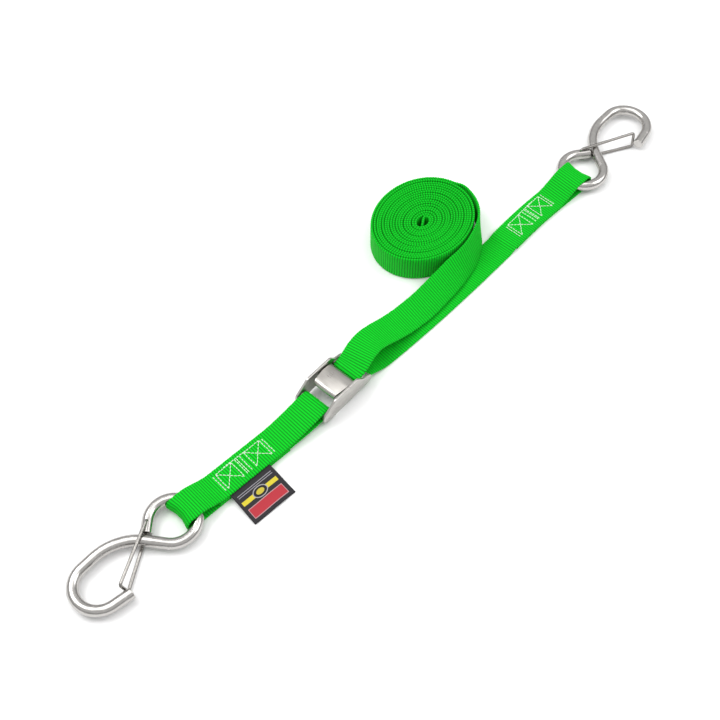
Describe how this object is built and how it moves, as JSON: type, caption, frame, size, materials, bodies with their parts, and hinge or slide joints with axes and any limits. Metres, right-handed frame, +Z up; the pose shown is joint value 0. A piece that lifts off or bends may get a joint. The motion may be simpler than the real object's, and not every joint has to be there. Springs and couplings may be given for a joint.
{
  "type": "cam buckle tie-down strap",
  "caption": "Tie-down strap with a cam buckle, sewn short and long webbing, a wire-gated hook at each end and the spare webbing rolled up.",
  "frame": {"origin": "on the floor, under the middle of the whole layout", "axes": "+X along the straps from the short strap's hook to the long strap's hook, +Y across the straps towards the roll, +Z up from the floor"},
  "size_m": [0.6695, 0.129, 0.0274],
  "materials": {
    "buckle_steel": "stamped stainless steel, satin brushed",
    "lever_steel": "stamped stainless steel, satin",
    "spring_steel": "drawn spring wire",
    "hook_steel": "polished stainless rod",
    "gate_wire": "bright stainless wire",
    "webbing": "crosswise ribbed polyester webbing, bright green",
    "thread": "white lock-stitched thread",
    "label_cloth": "woven label with plain coloured bands"
  },
  "bodies": {
    "buckle": {"buckle_frame": "buckle_steel", "anchor_bar": "buckle_steel", "pivot_pin": "buckle_steel", "long_strap": "webbing", "long_strap_tail": "webbing", "long_strap_roll": "webbing", "long_strap_stitching": "thread"},
    "cam_lever": {"cam_lever": "lever_steel", "lever_spring": "spring_steel"},
    "short_strap": {"short_strap": "webbing", "short_strap_stitching": "thread", "label": "label_cloth"},
    "hook_a": {"hook_a": "hook_steel"},
    "gate_a": {"gate_a": "gate_wire"},
    "hook_b": {"hook_b": "hook_steel"},
    "gate_b": {"gate_b": "gate_wire"}
  },
  "joints": [
    {"name": "cam_lever_hinge", "type": "hinge", "parent": "buckle", "child": "cam_lever", "pos_m": [-0.07465, -0.02705, 0.0146], "axis": [0, -1, 0], "range_deg": [-15, 25], "stiffness_Nm_per_rad": 0.12, "springref_deg": -17.19},
    {"name": "short_strap_swing", "type": "hinge", "parent": "buckle", "child": "short_strap", "pos_m": [-0.09865, -0.02705, 0.0085], "axis": [0, 1, 0], "range_deg": [-60, 90]},
    {"name": "hook_a_turn", "type": "hinge", "parent": "short_strap", "child": "hook_a", "pos_m": [-0.24105, -0.01562, 0.00746], "axis": [0, 0, 1], "range_deg": [-50, 50]},
    {"name": "gate_a_hinge", "type": "hinge", "parent": "hook_a", "child": "gate_a", "pos_m": [-0.25486, -0.00305, 0.00746], "axis": [0, 0, -1], "range_deg": [0, 26], "stiffness_Nm_per_rad": 0.2, "springref_deg": -17.19},
    {"name": "hook_b_turn", "type": "hinge", "parent": "buckle", "child": "hook_b", "pos_m": [0.24035, -0.03905, 0.00746], "axis": [0, 0, 1], "range_deg": [-50, 50]},
    {"name": "gate_b_hinge", "type": "hinge", "parent": "hook_b", "child": "gate_b", "pos_m": [0.25416, -0.02649, 0.00746], "axis": [0, 0, 1], "range_deg": [0, 26], "stiffness_Nm_per_rad": 0.2, "springref_deg": -17.19}
  ]
}
